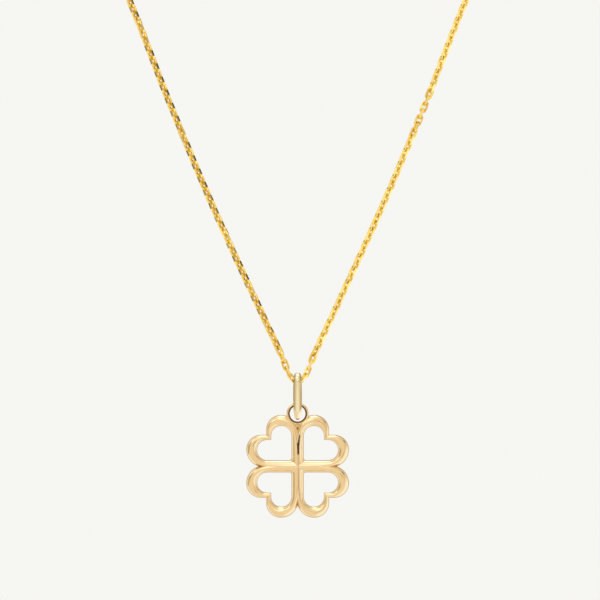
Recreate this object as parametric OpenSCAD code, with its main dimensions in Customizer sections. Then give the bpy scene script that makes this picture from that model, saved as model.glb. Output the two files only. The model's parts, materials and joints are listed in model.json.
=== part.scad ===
// Necklace with an openwork four leaf clover pendant: four heart-shaped leaves, an eye ring
// soldered between the upper two, a bail on a fine chain, and a ring clasp at the nape.
// Millimetres, +Z up. The origin is where the clasp rests on the nape, and the front faces -Y.

/* [Clover] */
// Width across two leaves, and the height too
leaf_span = 15; // [14.4:0.1:18]
// Thickness of the metal at the crest of its dome
clover_t = 1.25; // [1:0.05:1.8]
// Thickness where the two lobes of a leaf meet
cleft_t = 1; // [0.8:0.05:1.25]
// Upright edge below the dome
edge_h = 0.2; // [0.1:0.05:0.4]
// Width of the cross bars between the openings
bar_w = 1.8; // [1.5:0.05:2.2]
// Width of the rim at the tip of a lobe
rim_w = 1.6; // [1.3:0.05:1.8]
// Width of the rim beside the cleft of a leaf
shoulder_w = 0.75; // [0.6:0.05:1]
// Distance from a bar to the tip of the lobe beside it
lobe_offset = 2.45; // [2.2:0.05:2.6]
// Radius of a lobe from its tip to the cleft
shoulder_r = 2.15; // [1.9:0.05:2.3]
// How far the notch between two leaves goes in from their tips
notch_depth = 1.77; // [1.5:0.01:2]
// Corner radius of an opening next to the middle
corner_r = 0.35; // [0.2:0.05:0.5]

/* [Eye ring] */
// Outer diameter of the ring soldered on top of the clover
eye_od = 3.25; // [3:0.05:3.6]
// Wire of that ring
eye_wire = 0.48; // [0.4:0.02:0.56]
// Height of the ring's centre above the tips of the upper leaves
eye_rise = 0.2; // [0:0.05:0.4]
// Height of the ring's plane above the clover's flat back
eye_seat = 0.8; // [0.6:0.05:1]
// Diameter of the solder that fills the notch under the ring
solder_d = 0.9; // [0.8:0.05:1.1]

/* [Bail] */
// Distance from the chain down to the wire of the eye ring
bail_drop = 3.3; // [3:0.1:5]
// Thickness of the bail's strip
bail_t = 0.45; // [0.35:0.05:0.6]
// Length of the solid tip below the eye ring's wire
bail_tip = 1.9; // [1:0.05:2]
// Radius of that tip, seen from the side
bail_tip_r = 0.5; // [0.4:0.05:0.6]
// Width of the bail over the chain
bail_top_w = 1; // [0.8:0.05:1.1]
// Width of the bail half way down
bail_mid_w = 1.3; // [1.1:0.05:1.4]
// Width of the bail at its tip
bail_tip_w = 1; // [0.8:0.05:1.2]
// Upright side of the strip, as a share of its thickness
bail_edge = 0.3; // [0.2:0.05:0.6]
// Clear space between the chain and the bail's arch
chain_play = 0.34; // [0.3:0.01:0.4]
// Clear space between the bail and the eye ring's wire
eye_play = 0.15; // [0.12:0.01:0.2]

/* [Chain] */
// Diameter of the chain over its links
chain_d = 1; // [0.8:0.05:1.05]

/* [Clasp] */
// Outer diameter of the ring clasp
clasp_od = 5.8; // [5:0.1:8]
// Tube of the ring clasp
clasp_tube = 1.1; // [0.9:0.05:1.3]
// Outer diameter of the small eye on the clasp
tab_od = 2; // [1.8:0.1:2.4]
// Outer diameter of the ring at each end of the chain
link_od = 2.9; // [2.7:0.1:3.4]
// Wire of the clasp's eye and of the end rings
link_wire = 0.45; // [0.4:0.01:0.5]
// Clear space between rings that hang in each other
link_play = 0.12; // [0.08:0.01:0.2]

/* [Hidden] */

// Right half of the chain's route from under the bail to the nape: across, back and up from its lowest point
CHAIN_ROUTE = [
    [0, 0, 0],
    [0.5, 0, 0.11],
    [0.88, 0, 0.4],
    [1.15, 0.05, 0.85],
    [1.62, 0.2, 1.9],
    [2.45, 0.5, 4],
    [6.2, 2.2, 12],
    [12.6, 5.5, 26],
    [18.9, 9.5, 41],
    [24.8, 14, 56],
    [32.6, 20.5, 74],
    [39.5, 28, 92],
    [45, 36, 107],
    [49, 46, 119.5],
    [50, 58, 128],
    [46.5, 72, 134.5],
    [38, 84, 138.5],
    [25, 92.5, 141],
    [13, 96.5, 142]
];
// The lowest point of the chain, seen from the nape
CHAIN_LOW = [0, -97.5, -142.3];
CHAIN_SIDES = 8;
// Sections of the chain from one point of the route to the next
CHAIN_STEPS = 2;

// Clover, in its own plane: u runs along a bar and v away from it
reach = leaf_span / 2;
half_bar = bar_w / 2;
shoulder_v = lobe_offset + shoulder_r;
shoulder_c = [reach - shoulder_r, lobe_offset];
flank_r = (pow(notch_depth, 2) + pow(lobe_offset, 2)) / (2 * notch_depth);
flank_c = [reach - flank_r, lobe_offset];
notch_u = reach - notch_depth;
notch_a = -acos((flank_r - notch_depth) / flank_r);
hole_top = shoulder_v - shoulder_w;
hole_r = (hole_top - half_bar) / 2;
hole_c = [reach - rim_w - hole_r, half_bar + hole_r];
corner_c = half_bar + corner_r;
// Place on the opening's lobe, in degrees, that lies across from the notch
NOTCH_ACROSS = -55;
FAN_STEPS = 4;
BAR_STEPS = 12;
// How much closer the sections along a bar lie towards the notch
NOTCH_CROWDING = 1.7;
LOBE_STEPS = 14;
SHOULDER_STEPS = 3;
SIDE_STEPS = 5;

// Heights of the pendant's pieces below the chain's lowest point
eye_r = (eye_od - eye_wire) / 2;
eye_z = -bail_drop - eye_r;
clover_z = eye_z - eye_rise - reach;

// Bail, seen from the side: the centre of its arch is the chain's lowest point
arch_r = chain_d / 2 + chain_play;
arch_out_r = arch_r + bail_t;
slot_r = eye_wire / 2 + eye_play;
slot_z = -bail_drop;
tip_z = slot_z - slot_r - bail_tip;
tip_c = tip_z + bail_tip_r;
ARCH_STEPS = 14;
ARM_STEPS = 5;
TIP_STEPS = 10;
STRIP_STEPS = 8;

// Clasp and end rings, measured from the middle of the clasp along the line between the chain's ends
clasp_r = (clasp_od - clasp_tube) / 2;
tab_r = (tab_od - link_wire) / 2;
link_r = (link_od - link_wire) / 2;
tab_at = -(clasp_od / 2 + tab_r - link_wire / 4);
ring_right_at = clasp_r - clasp_tube / 2 - link_play - link_wire / 2 + link_r;
ring_left_at = tab_at - tab_r + link_wire + link_play - link_r;
clasp_x = -(ring_right_at + ring_left_at) / 2;
chain_end_x = (ring_right_at - ring_left_at + link_od) / 2 + link_play;
RING_FN = 48;

function mix(a, b, f) = a + (b - a) * f;
function ease(f) = f * f * (3 - 2 * f);
function on_circle(c, r, a) = [c[0] + r * cos(a), c[1] + r * sin(a)];
function bezier(a, b, c, f) = mix(mix(a, b, f), mix(b, c, f), f);

// Edge of an opening along a bar and round to the place across from the notch
function bar_edge(f) =
    let (line = hole_c[0] - corner_c,
         turn = hole_r * (90 + NOTCH_ACROSS) * PI / 180,
         s = f * (line + turn))
    s < line ? [corner_c + s, half_bar]
             : on_circle(hole_c, hole_r, -90 + (s - line) / hole_r * 180 / PI);

// Outer edge that the rim would have along a bar if the next leaf weren't there
function bar_far_edge(f) =
    let (control = max(corner_c, notch_u - half_bar * tan(-notch_a)))
    bezier([corner_c, -half_bar], [control, -half_bar], [notch_u, 0], f);

function lobe_far_edge(f) =
    let (a = mix(notch_a, 90, f))
    a < 0 ? on_circle(flank_c, flank_r, a) : on_circle(shoulder_c, shoulder_r, a);

// One section of the rim: edge of the opening, crest, outer edge, height of the crest
function fan_section(f) =
    let (e = on_circle([corner_c, corner_c], corner_r, 225 + 45 * f),
         crest = [corner_c * f * f, 0])
    [e, crest, crest - [0, half_bar], clover_t];
function rim_section(e, o, h) = [e, (e + o) / 2, o, h];
function lobe_height(f) = mix(clover_t, cleft_t, ease(f));

SECTIONS = concat(
    [for (i = [0:FAN_STEPS]) fan_section(i / FAN_STEPS)],
    [for (i = [1:BAR_STEPS])
        let (f = 1 - pow(1 - i / BAR_STEPS, NOTCH_CROWDING))
        rim_section(bar_edge(f), bar_far_edge(f), clover_t)],
    [for (i = [1:LOBE_STEPS])
        let (f = i / LOBE_STEPS)
        rim_section(on_circle(hole_c, hole_r, mix(NOTCH_ACROSS, 90, f)), lobe_far_edge(f), lobe_height(f))],
    [for (i = [1:SHOULDER_STEPS])
        let (f = i / SHOULDER_STEPS)
        rim_section(mix([hole_c[0], hole_top], [hole_top, hole_top], f),
                    mix([shoulder_c[0], shoulder_v], [shoulder_v, shoulder_v], f), cleft_t)]
);
// The sections up to this one end on the bar's middle line, where the next leaf takes over
NOTCH_AT = FAN_STEPS + BAR_STEPS;

// Points of one section, from the opening's foot over the dome to the outer foot
function section_points(s) =
    let (e = s[0], crest = s[1], o = s[2], dome = s[3] - edge_h,
         share = o[1] < 0 ? crest[1] / (crest[1] - o[1]) : 1,
         last = asin(min(1, share)))
    concat(
        [[e[0], e[1], 0]],
        [for (j = [0:SIDE_STEPS])
            let (a = 90 * j / SIDE_STEPS, p = mix(e, crest, 1 - cos(a)))
            [p[0], p[1], edge_h + dome * sin(a)]],
        [for (j = [1:SIDE_STEPS])
            let (a = last * j / SIDE_STEPS, p = mix(crest, o, sin(a)))
            [p[0], share < 1 && j == SIDE_STEPS ? 0 : p[1], edge_h + dome * cos(a)]],
        let (p = mix(crest, o, share)) [[p[0], share < 1 ? 0 : p[1], 0]]
    );
ROW = 2 * SIDE_STEPS + 3;
EIGHTH = [for (s = SECTIONS) each section_points(s)];

// Triangles of one eighth. The wall under the bar's middle line is left out, because it lies inside
function band(i) = concat(
    [for (j = [0:ROW - 2]) if (j < ROW - 2 || i >= NOTCH_AT) [i * ROW + j, i * ROW + j + 1]],
    [[i * ROW + ROW - 1, i * ROW]]);
EIGHTH_FACES = [
    for (i = [0:len(SECTIONS) - 2], p = band(i))
        for (t = [[p[0], p[1], p[1] + ROW], [p[0], p[1] + ROW, p[0] + ROW]])
            if (norm(EIGHTH[t[0]] - EIGHTH[t[1]]) > 1e-6 && norm(EIGHTH[t[1]] - EIGHTH[t[2]]) > 1e-6
                && norm(EIGHTH[t[2]] - EIGHTH[t[0]]) > 1e-6) t
];

// The eight ways to place an eighth: swap of u and v, and the sign of each
PLACES = [
    [false, 1, 1], [true, 1, 1], [true, -1, 1], [false, -1, 1],
    [false, -1, -1], [true, -1, -1], [true, 1, -1], [false, 1, -1]
];
function placed(p, k) = [k[1] * (k[0] ? p[1] : p[0]), k[2] * (k[0] ? p[0] : p[1]), p[2]];

module leaves() {
    count = len(EIGHTH);
    points = [for (k = PLACES) each [for (p = EIGHTH) placed(p, k)]];
    faces = [
        for (n = [0:len(PLACES) - 1], f = EIGHTH_FACES)
            let (g = n % 2 == 0 ? [f[2], f[1], f[0]] : f)
            [for (i = g) i + n * count]
    ];
    polyhedron(points, faces);
}

module ring(r, wire) {
    rotate_extrude($fn = RING_FN) translate([r, 0]) circle(d = wire, $fn = RING_FN / 2);
}

module clover() {
    color("#dfc084")
    translate(CHAIN_LOW + [0, eye_seat, clover_z]) rotate([90, 0, 0]) union() {
        leaves();
        translate([0, eye_z - clover_z, eye_seat]) ring(eye_r, eye_wire);
        translate([0, notch_u + solder_d / 4, solder_d / 2]) sphere(d = solder_d, $fn = RING_FN / 2);
    }
}

// Angle at which a straight arm leaves the arch, from the radii of the arch and of the lower round
function arm_angle(top_r, low_r, drop) = asin((top_r - low_r) / drop);

// One side of the bail's profile in y and z: over the arch, down an arm, round the foot and up again
function profile(top_r, low_r, low_z) =
    let (a = arm_angle(top_r, low_r, -low_z),
         arch = [for (i = [0:ARCH_STEPS]) on_circle([0, 0], top_r, mix(-a, 180 + a, i / ARCH_STEPS))],
         foot = [for (i = [0:TIP_STEPS]) on_circle([0, low_z], low_r, mix(180 + a, 360 - a, i / TIP_STEPS))])
    concat(
        arch,
        [for (i = [1:ARM_STEPS - 1]) mix(arch[ARCH_STEPS], foot[0], i / ARM_STEPS)],
        foot,
        [for (i = [1:ARM_STEPS - 1]) mix(foot[TIP_STEPS], arch[0], i / ARM_STEPS)]
    );

// Width of the bail at a height
function strip_width(z) =
    let (middle = (arch_out_r + tip_z) / 2,
         f = min(1, abs(z - middle) / (arch_out_r - middle)))
    mix(bail_mid_w, z > middle ? bail_top_w : bail_tip_w, f * f);

module bail() {
    inside = profile(arch_r, slot_r, slot_z);
    outside = profile(arch_out_r, bail_tip_r, tip_c);
    count = len(inside);
    row = STRIP_STEPS + 3;
    points = [
        for (n = [0:count - 1])
            let (half = strip_width(outside[n][1]) / 2,
                 dome = (1 - bail_edge) * bail_t / norm(outside[n] - inside[n]),
                 at = function (x, f) let (p = mix(inside[n], outside[n], f)) [x, p[0], p[1]])
            each concat(
                [at(half, 0)],
                [for (j = [0:STRIP_STEPS])
                    let (a = 180 * j / STRIP_STEPS)
                    at(half * cos(a), 1 - dome + dome * sin(a))],
                [at(-half, 0)]
            )
    ];
    faces = [
        for (n = [0:count - 1], j = [0:row - 1])
            let (next = (n + 1) % count, k = (j + 1) % row)
            each [[n * row + j, next * row + k, n * row + k],
                  [n * row + j, next * row + j, next * row + k]]
    ];
    color("#dcbd80")
    translate(CHAIN_LOW) polyhedron(points, faces);
}

// A smooth curve through the points of a list, with steps places between two of them
function curve(p, steps) =
    let (last = len(p) - 1)
    concat(
        [for (i = [0:last - 1], k = [0:steps - 1])
            let (a = i > 0 ? p[i - 1] : 2 * p[0] - p[1], b = p[i], c = p[i + 1],
                 d = i + 2 <= last ? p[i + 2] : 2 * p[last] - p[last - 1],
                 t = k / steps)
            (2 * b + (c - a) * t + (2 * a - 5 * b + 4 * c - d) * t * t
                + (3 * b - 3 * c + d - a) * pow(t, 3)) / 2],
        [p[last]]
    );

module chain() {
    half = concat(CHAIN_ROUTE, [[chain_end_x, -CHAIN_LOW[1], -CHAIN_LOW[2]]]);
    last = len(half) - 1;
    route = concat([for (i = [last:-1:1]) [-half[i][0], half[i][1], half[i][2]]], half);
    path = curve(route, CHAIN_STEPS);
    count = len(path);
    across = [0, CHAIN_LOW[2], -CHAIN_LOW[1]];
    points = [
        for (n = [0:count - 1])
            let (along = path[min(n + 1, count - 1)] - path[max(n - 1, 0)],
                 out = cross(along, across), side = out / norm(out),
                 up = cross(side, along) / norm(along))
            for (j = [0:CHAIN_SIDES - 1])
                let (a = 360 * (j + 0.5) / CHAIN_SIDES)
                path[n] + chain_d / 2 * (cos(a) * side + sin(a) * up)
    ];
    faces = concat(
        [[for (j = [CHAIN_SIDES - 1:-1:0]) j]],
        [for (n = [0:count - 2], j = [0:CHAIN_SIDES - 1])
            let (k = (j + 1) % CHAIN_SIDES, a = n * CHAIN_SIDES)
            each [[a + j, a + k, a + CHAIN_SIDES + k], [a + j, a + CHAIN_SIDES + k, a + CHAIN_SIDES + j]]],
        [[for (j = [0:CHAIN_SIDES - 1]) (count - 1) * CHAIN_SIDES + j]]
    );
    color("#e2b23a")
    translate(CHAIN_LOW) polyhedron(points, faces);
}

module clasp() {
    color("#e2b23a")
    translate([clasp_x, 0, 0]) rotate([90, 0, 0]) {
        ring(clasp_r, clasp_tube);
        translate([tab_at, 0, 0]) ring(tab_r, link_wire);
    }
}

module end_ring(at) {
    color("#e2b23a")
    translate([clasp_x + at, 0, 0]) ring(link_r, link_wire);
}

clover();
bail();
chain();
clasp();
end_ring(ring_left_at);  // end_ring_left
end_ring(ring_right_at);  // end_ring_right
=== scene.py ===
# Openwork clover pendant on its chain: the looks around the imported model
import json
import math

import bpy
import numpy as np
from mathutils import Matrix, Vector


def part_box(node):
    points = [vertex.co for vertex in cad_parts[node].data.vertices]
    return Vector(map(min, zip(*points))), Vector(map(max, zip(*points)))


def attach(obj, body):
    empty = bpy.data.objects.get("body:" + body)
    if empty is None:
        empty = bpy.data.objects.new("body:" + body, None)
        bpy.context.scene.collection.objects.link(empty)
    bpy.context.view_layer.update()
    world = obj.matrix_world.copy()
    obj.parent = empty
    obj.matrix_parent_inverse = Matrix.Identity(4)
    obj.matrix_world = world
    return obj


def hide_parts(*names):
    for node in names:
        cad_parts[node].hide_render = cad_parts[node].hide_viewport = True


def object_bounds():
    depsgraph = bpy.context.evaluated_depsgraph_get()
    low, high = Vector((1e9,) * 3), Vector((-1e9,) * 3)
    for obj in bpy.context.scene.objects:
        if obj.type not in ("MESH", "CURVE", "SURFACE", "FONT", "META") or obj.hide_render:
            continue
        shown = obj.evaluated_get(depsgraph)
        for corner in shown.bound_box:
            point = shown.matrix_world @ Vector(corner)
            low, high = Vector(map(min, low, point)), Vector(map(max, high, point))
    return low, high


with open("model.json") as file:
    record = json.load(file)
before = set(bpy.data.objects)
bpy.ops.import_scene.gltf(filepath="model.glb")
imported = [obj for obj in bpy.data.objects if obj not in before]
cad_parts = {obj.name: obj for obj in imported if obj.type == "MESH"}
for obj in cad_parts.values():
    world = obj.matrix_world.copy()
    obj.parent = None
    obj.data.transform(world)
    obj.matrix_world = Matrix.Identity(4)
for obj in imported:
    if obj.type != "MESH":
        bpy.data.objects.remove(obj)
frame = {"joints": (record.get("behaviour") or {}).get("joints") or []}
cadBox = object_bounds()
mm = 0.001
tiny = 1e-12    # keeps a division by a length from failing
rightAngle, halfTurn = 90, 180
joints = {joint["name"]: joint for joint in frame["joints"]}
chainLow = np.array(joints["bail_swing"]["pos_m"]) / mm    # lowest point of the chain, in millimetres
ringCentre = np.array(joints["clover_swing"]["pos_m"]) / mm    # centre of the eye ring
print("frame loaded, whole height", round((cadBox[1].z - cadBox[0].z) / mm, 1), "mm")


def boxOf(node):
    # Lowest and highest corner of a node, in millimetres
    low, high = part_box(node)
    return np.array(low) / mm, np.array(high) / mm


def mix(a, b, f):
    # a + (b - a) f: the first at 0 and the second at 1
    return a + (b - a) * f


def smooth(f):
    # 3 f^2 - 2 f^3: eases a share from 0 to 1 with level ends
    f = np.clip(f, 0, 1)
    return f * f * (3 - 2 * f)


def onCircle(centre, radius, degrees):
    # Points at a radius round a centre: centre + radius (cos a, sin a)
    a = np.radians(degrees)
    return np.array(centre) + radius * np.stack([np.cos(a), np.sin(a)], -1)


def unit(v):
    # A vector divided by its length
    return v / np.maximum(np.linalg.norm(v, axis=-1, keepdims=True), tiny)


def gridFaces(rows, columns, closeRows=False, closeColumns=False):
    # Four-sided faces between neighbouring points of a grid.
    # The last row or column is joined to the first where the grid closes.
    i = np.arange(rows if closeRows else rows - 1)[:, None]
    j = np.arange(columns if closeColumns else columns - 1)[None, :]
    nextI, nextJ = (i + 1) % rows, (j + 1) % columns
    corners = [i * columns + j, i * columns + nextJ, nextI * columns + nextJ, nextI * columns + j]
    return np.stack(np.broadcast_arrays(*corners), -1)


def weld(points, faces, step=3e-5):
    # Makes points that lie within a step one, and drops the triangles that have lost a side
    triangles = np.concatenate([faces[:, [0, 1, 2]], faces[:, [0, 2, 3]]])
    cells = np.round(points / step).astype(np.int64)
    first, same = np.unique(cells, axis=0, return_index=True, return_inverse=True)[1:]
    triangles = same.reshape(-1)[triangles]
    whole = ((triangles[:, 0] != triangles[:, 1]) & (triangles[:, 1] != triangles[:, 2])
             & (triangles[:, 2] != triangles[:, 0]))
    return points[first], triangles[whole]


def makeMesh(name, points, faces):
    # Puts whole arrays of points (in millimetres) and faces into a new mesh object
    mesh = bpy.data.meshes.new(name)
    mesh.vertices.add(len(points))
    mesh.vertices.foreach_set("co", (np.asarray(points, float) * mm).astype(np.float32).ravel())
    mesh.loops.add(faces.size)
    mesh.loops.foreach_set("vertex_index", faces.astype(np.int32).ravel())
    mesh.polygons.add(len(faces))
    mesh.polygons.foreach_set("loop_start", np.arange(0, faces.size, faces.shape[1], dtype=np.int32))
    mesh.update(calc_edges=True)
    mesh.validate()
    piece = bpy.data.objects.new(name, mesh)
    bpy.context.scene.collection.objects.link(piece)
    return piece


def shade(piece, degrees):
    # Smooth shading, with a crease wherever two faces meet more sharply than this
    piece.data.shade_smooth()
    piece.data.set_sharp_from_angle(angle=math.radians(degrees))


def creaseBack(piece, level=0.99999):
    # Keeps a flat back flat in its shading: the outline of the faces that look along +Y becomes a crease
    mesh = piece.data
    normals = np.empty(len(mesh.polygons) * 3, np.float32)
    mesh.polygons.foreach_get("normal", normals)
    corners = np.empty(len(mesh.polygons), np.int32)
    mesh.polygons.foreach_get("loop_total", corners)
    edges = np.empty(len(mesh.loops), np.int32)
    mesh.loops.foreach_get("edge_index", edges)
    flat = np.repeat(normals[1::3] > level, corners)
    outline = np.bincount(edges[flat], minlength=len(mesh.edges)) == 1
    sharp = np.empty(len(mesh.edges), bool)
    mesh.edges.foreach_get("use_edge_sharp", sharp)
    mesh.edges.foreach_set("use_edge_sharp", sharp | outline)


def setAttribute(piece, name, values, domain="POINT"):
    # One number for each point or face of a piece, for its material to read
    layer = piece.data.attributes.new(name, "FLOAT", domain)
    layer.data.foreach_set("value", np.asarray(values, np.float32))


def readPoints(piece):
    # A piece's points as one array, in millimetres
    flat = np.empty(len(piece.data.vertices) * 3, np.float32)
    piece.data.vertices.foreach_get("co", flat)
    return flat.reshape(-1, 3) / mm


def place(piece, body, slot, material, *nodes):
    # Gives a finished piece its material, its body and the CAD nodes that it stands for
    piece.data.materials.clear()
    piece.data.materials.append(material)
    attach(piece, body)
    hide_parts(*nodes)
    print("placed", piece.name, "with", len(piece.data.polygons), "faces")


def torusPoints(ringRadius, wireRadius, aroundRing, aroundWire):
    # A ring in the plane of its first two axes: a small circle carried round a large one
    a = np.linspace(0, 2 * np.pi, aroundRing, endpoint=False)[:, None]
    b = np.linspace(0, 2 * np.pi, aroundWire, endpoint=False)[None, :]
    out = ringRadius + wireRadius * np.cos(b)
    return np.stack(np.broadcast_arrays(out * np.cos(a), out * np.sin(a), wireRadius * np.sin(b)), -1)


# Shader maths as Python expressions
class Field:
    # A socket that can be added, multiplied and so on, each step becoming a node

    def __init__(self, builder, socket):
        self.builder, self.socket = builder, socket

    def compute(self, operation, a, b):
        if self.socket.type in ("VECTOR", "RGBA"):
            return self.builder.node("ShaderNodeVectorMath", {"operation": operation}, {0: a, 1: b})
        return self.builder.node("ShaderNodeMath", {"operation": operation}, {0: a, 1: b})

    def __add__(self, other):
        return self.compute("ADD", self, other)

    def __radd__(self, other):
        return self.compute("ADD", other, self)

    def __sub__(self, other):
        return self.compute("SUBTRACT", self, other)

    def __rsub__(self, other):
        return self.compute("SUBTRACT", other, self)

    def __mul__(self, other):
        return self.compute("MULTIPLY", self, other)

    def __rmul__(self, other):
        return self.compute("MULTIPLY", other, self)

    def clamp(self):
        return self.builder.node("ShaderNodeClamp", {}, {0: self})


class Nodes:
    # Builds a node tree: node() takes a type, its settings and the values or links of its sockets

    def __init__(self, tree):
        self.tree = tree
        tree.nodes.clear()

    def node(self, kind, settings=None, sockets=None, output=0):
        made = self.tree.nodes.new(kind)
        for key, value in (settings or {}).items():
            setattr(made, key, value)
        for key, value in (sockets or {}).items():
            if isinstance(value, Field):
                self.tree.links.new(value.socket, made.inputs[key])
            else:
                made.inputs[key].default_value = value
        return Field(self, made.outputs[output]) if made.outputs else None

    def mixColour(self, factor, a, b):
        # A Mix node takes its two colours at the sockets 6 and 7 and gives the third output
        sockets = {0: factor, 6: a, 7: b}
        return self.node("ShaderNodeMix", {"data_type": "RGBA", "clamp_factor": True}, sockets, 2)

    def noise(self, vector, scale, detail):
        return self.node("ShaderNodeTexNoise", {}, {"Vector": vector, "Scale": scale, "Detail": detail})

    def stretched(self, vector, scale):
        # Object coordinates scaled by a different number along each axis
        return self.node("ShaderNodeMapping", {}, {"Vector": vector, "Scale": scale})


# Finish that every gold has: soft clouds of a warmer gold, fine polishing lines and a mottle
finish = {
    "cloudScale": 420.0,
    "cloudDetail": 3.0,
    "cloudFrom": 0.35,    # clouds below this stay pale
    "cloudGain": 1.6,
    "lineStretch": (9000.0, 2500.0, 900.0),    # polishing lines run up and down
    "mottleScale": 2600.0,
    "detail": 2.0,
    "average": 0.5,    # mean of a noise
    "shadeAndToneDullness": 0.15,    # how much rougher the surface is where the attribute darkens it
    "bumpStrength": 0.25,
    "mottleShare": 0.5,    # height of the mottle beside the lines
}
# What the gold of each piece looks like
pendantGold = {
    "colour": (0.90, 0.76, 0.52, 1),    # pale yellow gold
    "warm": (0.89, 0.72, 0.46, 1),    # where the alloy shows a little warmer
    "paintedShadeAndTone": (0.19, 0.10, 0.03, 1),    # painted shade: darker low on the sides, in the creases and on the ring's inner face
    "roughness": 0.07,
    "roughnessSpread": 0.03,
    "scratchHeight": 0.004,
}
bailGold = dict(
    pendantGold,
    colour=(0.88, 0.81, 0.60, 1),    # a greener gold
    warm=(0.86, 0.78, 0.55, 1),
    # painted shade towards the strip's edges and on its upright sides
    paintedShadeAndTone=(0.40, 0.34, 0.17, 1),
)
chainGold = {
    "colour": (0.98, 0.77, 0.20, 1),    # strong yellow gold
    "paintedCutSheen": (1.0, 0.88, 0.42, 1),    # paler colour painted on the cut flats: a painted sheen
    "warm": (0.96, 0.71, 0.14, 1),
    # random duller tone of single links
    "paintedShadeAndTone": (0.62, 0.36, 0.05, 1),
    "roughness": 0.12,
    "roughnessSpread": 0.06,
    "scratchHeight": 0.01,
}


def goldMaterial(name, look, toneAttribute=None, cutAttribute=None):
    # Polished metal: two close golds mixed by soft noise and fine polishing lines. An attribute mixes in a
    # darker, duller colour: painted shade on the clover and the bail, random tone on the chain's links.
    # Another attribute paints a paler colour on the chain's cut flats as a painted sheen.
    material = bpy.data.materials.new(name)
    material.use_nodes = True
    nodes = Nodes(material.node_tree)
    objectSpace, number = 3, 2    # outputs that give the place on the piece and an attribute's value
    spot = nodes.node("ShaderNodeTexCoord", {}, {}, objectSpace)
    cloud = nodes.noise(spot, finish["cloudScale"], finish["cloudDetail"])
    lines = nodes.noise(nodes.stretched(spot, finish["lineStretch"]), 1.0, finish["detail"])
    mottle = nodes.noise(spot, finish["mottleScale"], finish["detail"])
    warmth = (cloud - finish["cloudFrom"]) * finish["cloudGain"]
    colour = nodes.mixColour(warmth, look["colour"], look["warm"])
    average, spread = finish["average"], look["roughnessSpread"]
    rough = look["roughness"] + (lines - average) * spread + (mottle - average) * spread
    # A paler colour painted on the cut flats: a painted sheen standing in for their brighter gleam
    if cutAttribute:
        cut = nodes.node("ShaderNodeAttribute", {"attribute_name": cutAttribute}, {}, number)
        colour = nodes.mixColour(cut, colour, look["paintedCutSheen"])
    # The attribute mixes in a darker, duller colour: painted shade on the clover and the bail, random tone
    # on the chain's links
    if toneAttribute:
        tone = nodes.node("ShaderNodeAttribute", {"attribute_name": toneAttribute}, {}, number)
        colour = nodes.mixColour(tone, colour, look["paintedShadeAndTone"])
        rough = rough + tone * finish["shadeAndToneDullness"]
    bump = nodes.node("ShaderNodeBump", {}, {
        "Strength": finish["bumpStrength"],
        "Distance": look["scratchHeight"] * mm,
        "Height": lines + mottle * finish["mottleShare"],
    })
    surface = nodes.node("ShaderNodeBsdfPrincipled", {}, {
        "Base Color": colour,
        "Metallic": 1.0,
        "Roughness": rough.clamp(),
        "Normal": bump,
    })
    nodes.node("ShaderNodeOutputMaterial", {}, {"Surface": surface})
    return material


goldOfPendant = goldMaterial("pendantGold", pendantGold, "paintedShadeAndTone")
goldOfBail = goldMaterial("bailGold", bailGold, "paintedShadeAndTone")
goldOfChain = goldMaterial("chainGold", chainGold, "paintedShadeAndTone", "cut")
goldOfClasp = goldMaterial("claspGold", chainGold)
print("metals mixed")


# Clover: one eighth is worked out between a bar's middle line (v = 0) and a leaf's middle line (u = v)
clover = {
    "barWidth": 1.8,
    "rimWidth": 1.6,    # rim at the tip of a lobe
    "shoulderWidth": 0.75,    # rim beside a cleft
    "lobeOffset": 2.45,    # from a bar to the tip of the lobe beside it
    "shoulderRadius": 2.15,    # lobe from its tip to the cleft
    "notchDepth": 1.77,    # from the tips of two leaves into the notch between them
    "cornerRadius": 0.35,    # opening's corner next to the middle
    "thickness": 1.25,
    "cleftThickness": 1.0,
    "edgeHeight": 0.2,
    "backRound": 0.09,    # softened edge of the flat back
    "backSteps": 3,    # faces round that edge
    "backFade": 5,    # sections over which the outer back edge softens, from the notch on
    "acrossNotch": -55,    # place on the opening's lobe across from the notch, in degrees
    "crowding": 1.7,    # how much closer the sections lie towards the notch
    "steps": (8, 26, 30, 6),    # sections round the middle, along a bar, round a lobe, at a cleft
    "sideSteps": 18,
    # Polished flat along the crest of the upper bar
    "flatFrom": 1.2,    # height above the middle
    "flatTo": 5.4,
    "flatBeside": 0.09,    # distance from the crest
    "flatDepth": 0.034,
    "flatSlope": 0.105,    # down towards the right
    "flatCentre": 0.3,    # middle and half width of the strip that is polished
    "flatHalfWidth": 0.55,
    "flatLift": 0.1,    # how far its ends run out of the metal
    "flatEnd": 0.15,    # share of its length at each end
    "tone": 0.34,    # strength of the shade painted low on the sides and in the creases
    "toneHeight": 0.85,
    "creaseFrom": 4.6,    # distance from the middle where the creases between leaves begin
    "creaseRun": 1.2,    # length over which they fill
    "creaseWidth": 0.28,
    "ringWire": 0.48,
    "ringSteps": (96, 28),
    "ringInner": (0.07, 0.12),    # painted shade on the ring's inner face: reach past the wire's middle, soft edge
    "ringDepth": 0.51,    # share of the wire that it covers from front to back
    "solder": 0.9,    # size of the drop below the ring
    "solderSteps": (16, 32),
    "sharp": 32,    # faces that meet at more degrees than this show an edge
}


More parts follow.
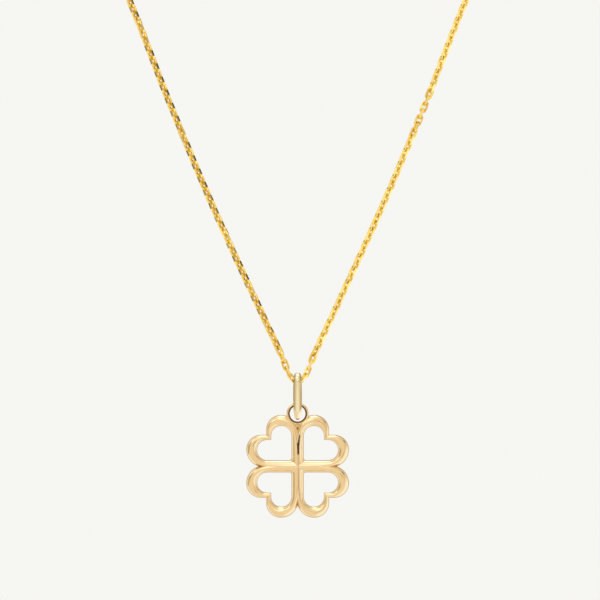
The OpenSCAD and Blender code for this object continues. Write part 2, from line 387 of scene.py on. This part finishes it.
def cloverSections(size, reach):
    # The rim's sections from the middle to the cleft: edge of the opening, crest, outer edge, crest height.
    # Edges are circles and straight lines, and the crest runs half way between the two edges.
    # The outer edge along a bar is a quadratic curve that ends in the notch between two leaves.
    half = size["barWidth"] / 2
    shoulderV = size["lobeOffset"] + size["shoulderRadius"]
    shoulderCentre = (reach - size["shoulderRadius"], size["lobeOffset"])
    depth, offset = size["notchDepth"], size["lobeOffset"]
    flankRadius = (depth ** 2 + offset ** 2) / (2 * depth)
    flankCentre = (reach - flankRadius, offset)
    notchU = reach - depth
    notchAngle = -math.degrees(math.acos((flankRadius - depth) / flankRadius))
    holeTop = shoulderV - size["shoulderWidth"]
    holeRadius = (holeTop - half) / 2
    holeCentre = np.array([reach - size["rimWidth"] - holeRadius, half + holeRadius])
    corner = half + size["cornerRadius"]
    fanSteps, barSteps, lobeSteps, cleftSteps = size["steps"]

    f = np.linspace(0, 1, fanSteps + 1)
    fanEdge = onCircle((corner, corner), size["cornerRadius"], (5 + f) * rightAngle / 2)
    fanCrest = np.stack([corner * f * f, 0 * f], -1)
    fanFar = fanCrest - [0, half]

    f = (1 - (1 - np.linspace(0, 1, barSteps + 1)[1:]) ** size["crowding"])[:, None]
    line = holeCentre[0] - corner
    turn = holeRadius * math.radians(rightAngle + size["acrossNotch"])
    s = f * (line + turn)
    straight = np.concatenate([corner + s, half + 0 * s], -1)
    bent = onCircle(holeCentre, holeRadius, np.degrees((s[:, 0] - line) / holeRadius) - rightAngle)
    barEdge = np.where(s < line, straight, bent)
    control = max(corner, notchU - half * math.tan(math.radians(-notchAngle)))
    a, b, c = np.array([corner, -half]), np.array([control, -half]), np.array([notchU, 0.0])
    barFar = mix(mix(a, b, f), mix(b, c, f), f)

    f = np.linspace(0, 1, lobeSteps + 1)[1:]
    lobeEdge = onCircle(holeCentre, holeRadius, mix(size["acrossNotch"], rightAngle, f))
    angle = mix(notchAngle, rightAngle, f)
    lobeFar = np.where(angle[:, None] < 0, onCircle(flankCentre, flankRadius, angle),
                       onCircle(shoulderCentre, size["shoulderRadius"], angle))

    g = np.linspace(0, 1, cleftSteps + 1)[1:, None]
    cleftEdge = mix(np.array([holeCentre[0], holeTop]), np.array([holeTop, holeTop]), g)
    cleftFar = mix(np.array([shoulderCentre[0], shoulderV]), np.array([shoulderV, shoulderV]), g)

    edge = np.concatenate([fanEdge, barEdge, lobeEdge, cleftEdge])
    far = np.concatenate([fanFar, barFar, lobeFar, cleftFar])
    crest = (edge + far) / 2
    crest[:fanSteps + 1] = fanCrest
    height = np.full(len(edge), size["thickness"])
    notchRow = fanSteps + barSteps
    lobeRow = notchRow + lobeSteps
    height[notchRow + 1:lobeRow + 1] = mix(size["thickness"], size["cleftThickness"], smooth(f))
    height[lobeRow + 1:] = size["cleftThickness"]
    return edge, crest, far, height, notchRow


def cloverEighth(size, reach):
    # Carries a domed section along the rim: back edge rounded, upright edge, then two quarter ellipses.
    # Along a bar the outer quarter stops at the middle line, so it meets its mirror image in a valley.
    edge, crest, far, height, notchRow = cloverSections(size, reach)
    low = size["edgeHeight"]
    dome = (height - low)[:, None]
    steps = size["sideSteps"]
    quarter = np.radians(np.linspace(0, rightAngle, steps + 1))[None, :]
    turn = np.radians(np.linspace(0, rightAngle, size["backSteps"] + 1))[None, :]
    rows = len(edge)
    level = np.zeros((rows, 1))

    def along(start, end, share, z):
        flat = start[:, None, :] + (end - start)[:, None, :] * share[..., None]
        return np.concatenate([flat, np.broadcast_to(z, flat.shape[:2])[..., None]], -1)

    backRadius = size["backRound"]
    inward = edge + unit(crest - edge)
    fromEdge, fromBack = 1 - np.sin(turn), 1 - np.cos(turn)
    inBack = along(edge, inward, backRadius * fromEdge + level, backRadius * fromBack)
    inDome = along(edge, crest, 1 - np.cos(quarter) + level, low + dome * np.sin(quarter))

    barRow = np.arange(rows) < notchRow
    share = np.where(barRow, np.clip(crest[:, 1] / np.maximum(crest[:, 1] - far[:, 1], tiny), 0, 1), 1)
    last = np.arcsin(share)[:, None] * np.linspace(0, 1, steps + 1)[None, 1:]
    outDome = along(crest, far, np.sin(last), low + dome * np.cos(last))
    outDome[barRow, -1, 1] = 0

    outRadius = backRadius * smooth((np.arange(rows) - notchRow) / size["backFade"])[:, None]
    outward = far + unit(crest - far)
    outBack = along(far, outward, outRadius * fromEdge, outRadius * fromBack)[:, ::-1]
    outBack[barRow] = outDome[barRow, -1][:, None]
    outBack[barRow, -1, 2] = 0
    grid = np.concatenate([inBack, inDome, outDome, outBack], 1)
    wall = size["backSteps"] + 2    # points of the outer side, from the dome's last one down
    grid[notchRow, -wall:, 1] = 0

    columns = grid.shape[1]
    faces = gridFaces(rows, columns, closeColumns=True)
    inner = np.zeros(faces.shape[:2], bool)
    inner[:notchRow, columns - wall:columns - 1] = True    # the wall under a bar's middle line lies inside
    return grid.reshape(-1, 3), faces[~inner]


def cloverLeaves(size, reach):
    # The eighth in its eight places: both signs of u and v, and the two swapped
    points, faces = cloverEighth(size, reach)
    allPoints, allFaces = [], []
    for swap in (False, True):
        for signU in (1, -1):
            for signV in (1, -1):
                p = points[:, [1, 0, 2]] if swap else points
                allPoints.append(p * [signU, signV, 1])
                turned = swap ^ (signU * signV < 0)
                allFaces.append((faces[:, ::-1] if turned else faces) + len(points) * len(allFaces))
    return weld(np.concatenate(allPoints), np.concatenate(allFaces))


def cutTogether(piece, others):
    # Joins closed meshes into one skin
    for other in others:
        union = piece.modifiers.new("join", "BOOLEAN")
        union.operation, union.solver, union.object = "UNION", "EXACT", other
    graph = bpy.context.evaluated_depsgraph_get()
    joined = bpy.data.meshes.new_from_object(piece.evaluated_get(graph))
    piece.modifiers.clear()
    old, piece.data = piece.data, joined
    bpy.data.meshes.remove(old)
    for other in others:
        bpy.data.objects.remove(other)


def buildDrop(name, centre, radius, steps):
    # A ball: rows of latitude, with its two poles closed by the weld
    rows, columns = steps[0] + 1, steps[1]
    a = np.radians(np.linspace(-rightAngle, rightAngle, rows))[:, None]
    b = np.linspace(0, 2 * np.pi, columns, endpoint=False)[None, :]
    ball = np.stack(np.broadcast_arrays(np.cos(a) * np.cos(b), np.cos(a) * np.sin(b), np.sin(a)), -1)
    faces = gridFaces(rows, columns, closeColumns=True).reshape(-1, 4)
    return makeMesh(name, *weld((centre + ball * radius).reshape(-1, 3), faces))


def polishFlat(points, size, reach):
    # Lowers the front to a plane beside the upper bar's crest: height - depth - slope (x - crest - beside).
    # The plane rises out of the metal over a share of its length at both ends.
    f = (points[:, 1] - size["flatFrom"]) / (size["flatTo"] - size["flatFrom"])
    crest = cloverSections(size, reach)[1][:size["steps"][0] + size["steps"][1]]
    crestX = np.interp(points[:, 1], crest[:, 0], crest[:, 1])
    plane = size["thickness"] - size["flatDepth"]
    plane = plane - size["flatSlope"] * (points[:, 0] - crestX - size["flatBeside"])
    ends = size["flatLift"] * (1 - smooth(np.minimum(f, 1 - f) / size["flatEnd"]))
    strip = (np.abs(points[:, 0] - size["flatCentre"]) < size["flatHalfWidth"]) & (f > 0) & (f < 1)
    points[:, 2] = np.minimum(points[:, 2], plane + np.where(strip, ends, np.inf))


def cloverPaintedShade(piece, size, ringRadius, back, centreZ):
    # Painted shade: darker low on the sides, in the creases between leaves, and on the inner face of the eye
    # ring
    points = readPoints(piece)
    p = points - [0, 0, centreZ]
    across = np.minimum(np.abs(p[:, 0]), np.abs(p[:, 2]))
    along = np.maximum(np.abs(p[:, 0]), np.abs(p[:, 2]))
    crease = smooth((along - size["creaseFrom"]) / size["creaseRun"])
    crease *= smooth(1 - across / size["creaseWidth"])
    height = back - p[:, 1]
    foot = smooth((size["toneHeight"] - height) / (size["toneHeight"] / 2))
    tone = np.maximum(crease, foot) * size["tone"] * smooth(height / size["backRound"])
    toRing = points - ringCentre
    past, edge = size["ringInner"]
    inRing = smooth((ringRadius + past - np.linalg.norm(toRing[:, [0, 2]], axis=1)) / edge)
    inRing *= np.abs(toRing[:, 1]) < size["ringWire"] * size["ringDepth"]
    return np.maximum(tone, inRing)


def buildClover(size):
    # Leaves, eye ring and solder as one soldered piece, standing upright with its flat back to +Y
    low, high = boxOf("clover")
    reach = round(high[0] - low[0], 2) / 2
    back, centreZ = high[1], low[2] + (high[0] - low[0]) / 2

    def upright(p):
        return np.stack([p[..., 0], back - p[..., 2], p[..., 1] + centreZ], -1)

    points, faces = cloverLeaves(size, reach)
    polishFlat(points, size, reach)
    piece = makeMesh("cloverLeaves", upright(points), faces)
    wire, solder = size["ringWire"], size["solder"]
    ringRadius = high[2] - ringCentre[2] - wire / 2
    torus = torusPoints(ringRadius, wire / 2, *size["ringSteps"])
    ringPoints = ringCentre + torus[..., [0, 2, 1]] * [1, -1, 1]
    ringFaces = gridFaces(*size["ringSteps"], True, True).reshape(-1, 4)[:, ::-1]
    ring = makeMesh("eyeRing", ringPoints.reshape(-1, 3), ringFaces)
    dropCentre = upright(np.array([0, reach - size["notchDepth"] + solder / 4, solder / 2]))
    drop = buildDrop("solder", dropCentre, solder / 2, size["solderSteps"])
    cutTogether(piece, [ring, drop])
    shade(piece, size["sharp"])
    creaseBack(piece)
    # painted shade on the sides, in the creases and inside the eye ring
    setAttribute(piece, "paintedShadeAndTone", cloverPaintedShade(piece, size, ringRadius, back, centreZ))
    return piece


place(buildClover(clover), "clover", "pendant_gold", goldOfPendant, "clover")


# Bail: a domed strip bent into a long teardrop loop
bail = {
    "stripThickness": 0.45,
    "slotPlay": 0.15,    # round the wire of the eye ring
    "tipRadius": 0.5,    # rounded tip, seen from the side
    "tipLength": 1.9,
    "topWidth": 1.0,
    "tipWidth": 1.0,
    "edgeShare": 0.3,    # upright side of the strip, as a share of its thickness
    "edgeRound": 0.04,    # softened inner edges
    "tone": 0.85,    # shade painted towards the strip's edges
    "sideTone": 0.25,    # painted shade on its upright sides
    "toneFrom": (0.2, 0.9),    # shares of the half width where it starts and is full
    "bareTip": 0.9,    # height of the tip that is free of the painted shade
    "bareFade": 0.9,    # height over which it comes in
    "tipNarrowing": 0.6,    # how much the tip narrows over its round end, seen from the front
    # Two filed flats at the tip's front that meet in a V
    "filedStart": 1.75,    # height above the tip where the V is widest
    "filedPoint": 0.7,    # height of its point
    "filedHalfWidth": 0.62,
    "filedSlope": 0.58,
    "filedKept": 0.35,    # least share of the depth that is left
    "steps": (40, 40, 26),    # round the arch, down an arm, round the tip
    "acrossSteps": 18,
    "sharp": 40,
}


def loopProfile(size, topRadius, lowRadius, lowZ):
    # Seen from the side: an arch about the origin, two straight arms that touch it, and a lower round.
    # The arms lean by asin of the difference of the two radii over the distance between their centres.
    a = math.degrees(math.asin((topRadius - lowRadius) / -lowZ))
    archSteps, armSteps, tipSteps = size["steps"]
    arch = onCircle((0, 0), topRadius, np.linspace(-a, halfTurn + a, archSteps + 1))
    tip = onCircle((0, lowZ), lowRadius, np.linspace(halfTurn + a, 2 * halfTurn - a, tipSteps + 1))
    f = np.linspace(0, 1, armSteps + 1)[1:-1, None]
    return np.concatenate([arch, mix(arch[-1], tip[0], f), tip, mix(tip[-1], arch[0], f)])


def fileTip(flat, x, outside, tipZ, size):
    # Moves the tip's front back to skin + slope (|x| - ridge): the ridge narrows down to the V's point
    front = outside[outside[:, 0] < 0]
    front = front[np.argsort(front[:, 1])]
    skin = np.interp(flat[..., 1], front[:, 1], front[:, 0])
    share = (flat[..., 1] - tipZ - size["filedPoint"]) / (size["filedStart"] - size["filedPoint"])
    ridge = size["filedHalfWidth"] * np.maximum(share, 0)
    filed = skin + np.maximum(np.abs(x) - ridge, 0) * size["filedSlope"]
    filed = np.minimum(filed, skin * size["filedKept"])
    flat[..., 0] = np.where(flat[..., 0] < 0, np.maximum(flat[..., 0], filed), flat[..., 0])


def buildBail(size):
    # A half-round section between the inner and the outer profile, widest half way down.
    # Its width falls with the square of the height from the middle, and round the tip as an ellipse does.
    low, high = boxOf("bail")
    top = high[2] - chainLow[2]
    tipZ = low[2] - chainLow[2]
    slotRadius = clover["ringWire"] / 2 + size["slotPlay"]
    slotZ = tipZ + size["tipLength"] + slotRadius
    inside = loopProfile(size, top - size["stripThickness"], slotRadius, slotZ)
    outside = loopProfile(size, top, size["tipRadius"], tipZ + size["tipRadius"])
    middle = (top + tipZ) / 2
    f = np.minimum(1, np.abs(outside[:, 1] - middle) / (top - middle)) ** 2
    widest = high[0] - low[0]
    half = mix(widest, np.where(outside[:, 1] > middle, size["topWidth"], size["tipWidth"]), f) / 2
    below = np.clip((tipZ + size["tipRadius"] - outside[:, 1]) / size["tipRadius"], 0, 1)
    half *= np.sqrt(1 - size["tipNarrowing"] * below ** 2)
    a = np.linspace(0, np.pi, size["acrossSteps"] + 1)
    x = half[:, None] * np.concatenate([[0, 1], np.cos(a), [-1, 0]])
    depth = np.linalg.norm(outside - inside, axis=1)[:, None]
    dome = (1 - size["edgeShare"]) * size["stripThickness"] / depth
    x[:, [0, -1]] = (half[:, None] - size["edgeRound"]) * [1, -1]
    inner, rounded = 0 * depth, size["edgeRound"] / depth
    rise = np.concatenate([inner, rounded, 1 - dome + dome * np.sin(a), rounded, inner], 1)
    flat = mix(inside[:, None, :], outside[:, None, :], rise[..., None])
    fileTip(flat, x, outside, tipZ, size)
    grid = np.concatenate([x[..., None], flat], -1) + chainLow
    rows, columns = grid.shape[:2]
    piece = makeMesh("bailLoop", grid.reshape(-1, 3), gridFaces(rows, columns, True, True).reshape(-1, 4))
    shade(piece, size["sharp"])
    # Painted shade: darker towards the strip's edges and on its upright sides, none on the tip
    start, full = size["toneFrom"]
    tone = smooth((np.abs(x) / half[:, None] - start) / (full - start)) * size["tone"]
    side = inner.shape[1] + rounded.shape[1] + 1    # points of an upright side, up to where the dome begins
    tone[:, :side] = tone[:, -side:] = size["sideTone"]
    tone *= smooth((outside[:, 1:] - tipZ - size["bareTip"]) / size["bareFade"])
    setAttribute(piece, "paintedShadeAndTone", tone.ravel())
    return piece


place(buildBail(bail), "bail", "pendant_gold", goldOfBail, "bail")


# Chain: interlocking cut links along the same route as the tube that they replace
chain = {
    "linkLength": 1.92,
    "linkWidth": 1.2,
    "wire": 0.41,
    "bow": 0.3,    # depth of a link's round ends
    "inset": 0.85,    # share of its length where a link's straight sides begin
    "pitch": 1.09,
    "curveSteps": 24,    # between two points of the route
    "aroundLink": 16,
    "wireCorners": (-54, 54, 104, 150, 210, 256),    # in degrees; the first two bound the flat cut
    "endCorner": 28,    # the same corner at a link's round ends, in degrees
    "roll": 45,    # links lie turned half way to the front
    "twists": ((45.4, 3.7, 45), (2.9, 1.6, 42), (-3.2, 1.6, -42)),    # place from the bail, spread, degrees
    "sway": ((11.0, 2.0, 0.4), (37.0, 3.0, 2.1)),    # wavelength, degrees, phase of the slow twist
    "hooked": 0.26,    # how far the last links reach past the wire of the end rings
    "endLink": 1.12,    # and how much wider they are
    "endSettle": 12.0,    # distance over which the turns die away towards the ends
    "slimmer": 0.19,    # of the links in the bail, which clear its swing
    "slimFrom": 4.0,    # distance from the bail's middle where the slimmer links end
    "slimFade": 2.5,    # length over which they lose their width
    "looseTurn": 3.0,    # each link's own turn, in degrees
    "looseShift": 0.02,
    "steadyNear": 4.0,    # distance from the bail within which the links shift less
    "toneSpread": 0.25,    # how much duller the dullest link is
    "seed": 7,
    "sharp": 42,
}
# Right half of the route from under the bail: across, back and up from the chain's lowest point
chainRoute = np.array([
    [0, 0, 0], [0.5, 0, 0.11], [0.88, 0, 0.4], [1.15, 0.05, 0.85], [1.62, 0.2, 1.9], [2.45, 0.5, 4],
    [6.2, 2.2, 12], [12.6, 5.5, 26], [18.9, 9.5, 41], [24.8, 14, 56], [32.6, 20.5, 74], [39.5, 28, 92],
    [45, 36, 107], [49, 46, 119.5], [50, 58, 128], [46.5, 72, 134.5], [38, 84, 138.5], [25, 92.5, 141],
    [13, 96.5, 142]])


def smoothCurve(points, steps):
    # Catmull-Rom curve through the points a, b, c, d, for t from 0 to 1 between b and c:
    # (2 b + (c - a) t + (2 a - 5 b + 4 c - d) t^2 + (3 b - 3 c + d - a) t^3) / 2
    ends = np.concatenate([[2 * points[0] - points[1]], points, [2 * points[-1] - points[-2]]])
    a, b, c, d = (ends[k:len(ends) - 3 + k, None, :] for k in range(4))
    t = np.linspace(0, 1, steps, endpoint=False)[None, :, None]
    square, cube = 2 * a - 5 * b + 4 * c - d, 3 * b - 3 * c + d - a
    curve = (2 * b + (c - a) * t + square * t ** 2 + cube * t ** 3) / 2
    return np.concatenate([curve.reshape(-1, 3), points[-1:]])


def linkShape(size):
    # One link: a six-sided wire carried round an oval with two straight sides, in the plane of its first
    # two axes. Each end has two sections more than its half circle, set back where the straight sides begin.
    turn = np.linspace(-np.pi / 2, np.pi / 2, size["aroundLink"] // 2 - 2)
    turn = np.concatenate([turn[:1], turn, turn[-1:]])
    a = np.concatenate([turn, turn + np.pi])
    inset = np.ones(len(turn))
    inset[[0, -1]] = size["inset"]
    wire = size["wire"] / 2
    halfLength, halfWidth = size["linkLength"] / 2 - wire, size["linkWidth"] / 2 - wire
    reach = np.concatenate([inset, -inset]) * (halfLength - size["bow"])
    centre = np.stack([reach + size["bow"] * np.cos(a), halfWidth * np.sin(a), 0 * a], -1)
    out = np.stack([np.cos(a), np.sin(a), 0 * a], -1)
    b = np.tile(size["wireCorners"], (len(a), 1)).astype(float)
    b[:, :2] = mix(b[:, :2], [-size["endCorner"], size["endCorner"]], np.abs(np.cos(a))[:, None])
    b = np.radians(b)[..., None]
    ring = np.cos(b) * out[:, None, :] + np.sin(b) * np.array([0, 0, 1.0])
    return (centre[:, None, :] + wire * ring).reshape(-1, 3)


def buildChain(size):
    # Links hang in each other at equal steps along the route, each turned a quarter from the one before
    low, high = boxOf("end_ring_right")
    ringWire = high[2] - low[2]
    end = np.array([high[0] - ringWire / 2 - size["hooked"], 0, 0]) - chainLow
    half = np.concatenate([chainRoute, [end]])
    route = np.concatenate([half[:0:-1] * [-1, 1, 1], half])
    curve = smoothCurve(route, size["curveSteps"])
    run = np.concatenate([[0], np.cumsum(np.linalg.norm(np.diff(curve, axis=0), axis=1))])
    count = int(run[-1] / size["pitch"]) // 2 * 2 + 1    # odd, so that both ends look the same
    at = np.linspace(0, run[-1], count + 1)
    knots = np.stack([np.interp(at, run, curve[:, k]) for k in range(3)], -1)
    chance = np.random.default_rng(size["seed"])
    fromBail = np.abs(at - run[-1] / 2)[1:-1, None]
    shift = chance.uniform(-1, 1, (count - 1, 3)) * size["looseShift"]
    knots[1:-1] += shift * smooth(fromBail / size["steadyNear"])
    centres = (knots[1:] + knots[:-1]) / 2
    along = unit(knots[1:] - knots[:-1])
    side = unit(np.cross(along, [0, -1, 0]))
    up = np.cross(side, along)
    s = (at[1:] + at[:-1]) / 2 - run[-1] / 2
    toEnd = smooth((run[-1] / 2 - np.abs(s)) / size["endSettle"])
    roll = np.full(count, float(size["roll"]))
    for spot, spread, degrees in size["twists"]:
        roll += degrees * np.exp(-((s - spot) / spread) ** 2)
    for wave, degrees, phase in size["sway"]:
        roll += degrees * np.sin(2 * np.pi * s / wave + phase)
    roll += chance.uniform(-1, 1, count) * size["looseTurn"]
    roll = np.radians(roll * toEnd + rightAngle * (np.arange(count) % 2))
    wide = np.cos(roll)[:, None] * side + np.sin(roll)[:, None] * up
    flat = np.cross(along, wide)
    slim = 1 - size["slimmer"] * smooth((size["slimFrom"] - np.abs(s)) / size["slimFade"])[:, None]
    slim[[0, -1]] = size["endLink"]
    axes = np.stack([along, wide * slim, flat * slim], 1)
    link = linkShape(size)
    points = np.einsum("pk,nkj->npj", link, axes) + centres[:, None, :] + chainLow
    low, high = boxOf("chain")
    points[..., 0] = np.clip(points[..., 0], low[0], high[0])    # the widest links are cut flat at the side
    faces = gridFaces(size["aroundLink"], len(size["wireCorners"]), True, True).reshape(-1, 4)
    faces = faces[None] + (np.arange(count) * len(link))[:, None, None]
    piece = makeMesh("chainLinks", points.reshape(-1, 3), faces.reshape(-1, 4)[:, ::-1])
    shade(piece, size["sharp"])
    setAttribute(piece, "paintedShadeAndTone", np.repeat(chance.random(count) * size["toneSpread"], len(link)))
    # Painted sheen: the flat cut on every link gets the paler colour
    cut = np.zeros((count, size["aroundLink"], len(size["wireCorners"])))
    cut[..., 0] = 1
    setAttribute(piece, "cut", cut.ravel(), "FACE")
    print("chain of", count, "links,", round(run[-1] + 2 * end[0], 1), "mm with its clasp")
    return piece


place(buildChain(chain), "chain_loop", "chain_gold", goldOfChain, "chain")


# Clasp and end rings at the nape: plain round rings
clasp = {
    "steps": (96, 24),    # round a ring and round its tube
    "eyeSunk": 0.25,    # how deep the eye's wire is soldered into the tube, as a share of the wire
    "sharp": 35,
}
endRing = {
    "steps": (64, 16),
    "sharp": 35,
}


def buildClasp(size):
    # Two rings in one upright plane: the clasp's tube and its small soldered eye
    low, high = boxOf("clasp")
    tube = high[1] - low[1]
    big = (high[2] - low[2] - tube) / 2
    bigX = high[0] - (high[2] - low[2]) / 2
    endLow, endHigh = boxOf("end_ring_left")
    wire = endHigh[2] - endLow[2]
    small = (bigX - big - tube / 2 - low[0] - wire * (1 - size["eyeSunk"])) / 2
    smallX = low[0] + wire / 2 + small
    rings = [(big, tube / 2, bigX), (small, wire / 2, smallX)]
    made = []
    faces = gridFaces(*size["steps"], True, True).reshape(-1, 4)
    for radius, half, x in rings:
        points = torusPoints(radius, half, *size["steps"])[..., [0, 2, 1]] + [x, 0, 0]
        made.append(makeMesh("claspRing", points.reshape(-1, 3), faces))
    cutTogether(made[0], made[1:])
    shade(made[0], size["sharp"])
    return made[0]


def buildEndRing(node, name, size):
    # A round wire ring lying level
    low, high = boxOf(node)
    wire = high[2] - low[2]
    points = torusPoints((high[0] - low[0] - wire) / 2, wire / 2, *size["steps"]) + (low + high) / 2
    faces = gridFaces(*size["steps"], True, True).reshape(-1, 4)[:, ::-1]
    piece = makeMesh(name, points.reshape(-1, 3), faces)
    shade(piece, size["sharp"])
    return piece


place(buildClasp(clasp), "chain_loop", "chain_gold", goldOfClasp, "clasp")
for node, name in (("end_ring_left", "endRingLeft"), ("end_ring_right", "endRingRight")):
    place(buildEndRing(node, name, endRing), "chain_loop", "chain_gold", goldOfClasp, node)


# Studio: a pale floor well below, a pale room, and soft panels round the camera
studio = {
    "floorDrop": 140.0,    # below the pendant's lowest point
    "floorRadius": 900.0,
    "floorForward": 50.0,    # how far its middle lies in front of the clasp
    "floorSteps": (5, 96),
    "floorColour": (0.93, 0.93, 0.93, 1),
    "floorRoughness": 0.8,
    "backdrop": (0.922, 0.919, 0.893, 1),
    "cameraDistance": 800.0,
    "frameWidth": 87.54,    # width of the picture at the pendant
    "frameCentre": (0.35, -130.4),    # x and z at the picture's centre
    "sight": (0.01, 20.0),    # nearest and farthest that the camera sees, in metres
    "lampFrom": (0, 250, 650),    # from the pendant: behind it and above
    "lampSize": 300,
    "lampPower": 0.3,
    "room": (0.94, 0.80, 0.59, 1),    # warm walls that the gold mirrors
    # Panels: direction round the camera's axis (0 right, 90 up), degrees away from the camera,
    # radius of the even middle, radius where the soft edge ends, colour
    "panels": (
        (10, 45, 12, 24, (0.84, 0.69, 0.53, 1)),
        (38, 84, 16, 30, (0.80, 0.66, 0.48, 1)),
        (60, 140, 15, 28, (0.62, 0.53, 0.38, 1)),
        (162, 76, 14, 28, (0.52, 0.44, 0.31, 1)),
        (140, 98, 12, 22, (1.05, 0.98, 0.86, 1)),
        (215, 118, 24, 42, (1.06, 1.00, 0.90, 1)),
        (-90, 95, 18, 40, (0.98, 0.84, 0.66, 1)),
        (-35, 90, 36, 56, (1.13, 1.10, 1.03, 1)),
        (94, 66, 11, 22, (1.18, 1.13, 1.02, 1)),
        (90, 102, 16, 30, (1.30, 1.24, 1.12, 1)),
        (92, 18, 4, 9, (1.30, 1.24, 1.12, 1)),
        (-90, 18, 3, 10, (1.04, 0.94, 0.80, 1)),
        (100, 34, 5, 13, (1.35, 1.30, 1.18, 1)),
        (102, 58, 6, 14, (1.70, 1.64, 1.50, 1)),
        (130, 56, 6, 14, (1.50, 1.42, 1.30, 1)),
        (37, 94, 7, 11, (0.07, 0.06, 0.03, 1)),
        (188, 94, 6, 11, (0.26, 0.21, 0.10, 1)),
        (0, 12, 3, 5, (0.015, 0.01, 0.006, 1)),
        (0, 180, 30, 52, (0.72, 0.58, 0.38, 1)),
    ),
}


def buildFloor(size):
    # A disc: rings of points (r cos a, r sin a) about its middle
    rings, around = size["floorSteps"]
    radius = np.linspace(0, 1, rings + 1)[:, None] * size["floorRadius"]
    a = np.linspace(0, 2 * np.pi, around, endpoint=False)[None, :]
    z = cadBox[0].z / mm - size["floorDrop"]
    y = radius * np.sin(a) - size["floorForward"]
    grid = np.stack(np.broadcast_arrays(radius * np.cos(a), y, z), -1)
    faces = gridFaces(rings + 1, around, closeColumns=True).reshape(-1, 4)[:, ::-1]
    floor = makeMesh("floor", *weld(grid.reshape(-1, 3), faces))
    material = bpy.data.materials.new("floorPaint")
    material.use_nodes = True
    nodes = Nodes(material.node_tree)
    paint = {"Base Color": size["floorColour"], "Roughness": size["floorRoughness"]}
    surface = nodes.node("ShaderNodeBsdfPrincipled", {}, paint)
    nodes.node("ShaderNodeOutputMaterial", {}, {"Surface": surface})
    floor.data.materials.append(material)
    floor.visible_glossy = False    # the gold mirrors the panels instead


def towards(direction, away):
    # Unit vector at b degrees from the camera's side of its axis, turned by a about it:
    # (sin b cos a, -cos b, sin b sin a)
    a, b = math.radians(direction), math.radians(away)
    return (math.sin(b) * math.cos(a), -math.cos(b), math.sin(b) * math.sin(a))


def buildRoom(size):
    # A plain backdrop for the camera and for the floor's light. Reflections see the walls, with panels over
    # them whose edges are soft: each is a smooth step of the cosine of the angle to its middle.
    world = bpy.data.worlds.new("room")
    bpy.context.scene.world = world
    world.use_nodes = True
    nodes = Nodes(world.node_tree)
    cameraRay, diffuseRay = 0, 2    # outputs of the light path
    seen = nodes.node("ShaderNodeLightPath", {}, {}, cameraRay)
    seen = seen + nodes.node("ShaderNodeLightPath", {}, {}, diffuseRay)
    direction = nodes.node("ShaderNodeTexCoord", {}, {}, 0)
    colour = nodes.node("ShaderNodeRGB")
    colour.socket.default_value = size["room"]
    for turn, away, core, edge, tint in size["panels"]:
        sockets = {0: direction, 1: towards(turn, away)}
        nearness = nodes.node("ShaderNodeVectorMath", {"operation": "DOT_PRODUCT"}, sockets, 1)
        start, full = math.cos(math.radians(edge)), math.cos(math.radians(core))
        sockets = {0: nearness, 1: start, 2: full, 3: 0.0, 4: 1.0}
        mask = nodes.node("ShaderNodeMapRange", {"interpolation_type": "SMOOTHSTEP"}, sockets)
        colour = nodes.mixColour(mask, colour, tint)
    shown = nodes.node("ShaderNodeBackground", {}, {"Color": size["backdrop"]})
    around = nodes.node("ShaderNodeBackground", {}, {"Color": colour})
    both = nodes.node("ShaderNodeMixShader", {}, {0: seen, 1: around, 2: shown})
    nodes.node("ShaderNodeOutputWorld", {}, {"Surface": both})


def buildLamp(size):
    # A soft round lamp that faces the pendant
    data = bpy.data.lights.new("topLight", "AREA")
    data.shape = "DISK"
    data.size = size["lampSize"] * mm
    data.energy = size["lampPower"]
    lamp = bpy.data.objects.new("topLight", data)
    target = Vector((0, chainLow[1] * mm, size["frameCentre"][1] * mm))
    lamp.location = target + Vector(size["lampFrom"]) * mm
    lamp.rotation_euler = (target - lamp.location).to_track_quat("-Z", "Y").to_euler()
    bpy.context.scene.collection.objects.link(lamp)


def buildCamera(size):
    # Level with the picture's centre and square to the pendant, with a long lens
    data = bpy.data.cameras.new("camera")
    data.lens = data.sensor_width * size["cameraDistance"] / size["frameWidth"]
    data.clip_start, data.clip_end = size["sight"]
    camera = bpy.data.objects.new("camera", data)
    x, z = size["frameCentre"]
    camera.location = (x * mm, (chainLow[1] - size["cameraDistance"]) * mm, z * mm)
    camera.rotation_euler = (math.radians(rightAngle), 0, 0)
    bpy.context.scene.collection.objects.link(camera)
    bpy.context.scene.camera = camera


buildFloor(studio)
buildRoom(studio)
buildLamp(studio)
buildCamera(studio)
bpy.context.scene.view_settings.view_transform = "Standard"
print("studio ready")
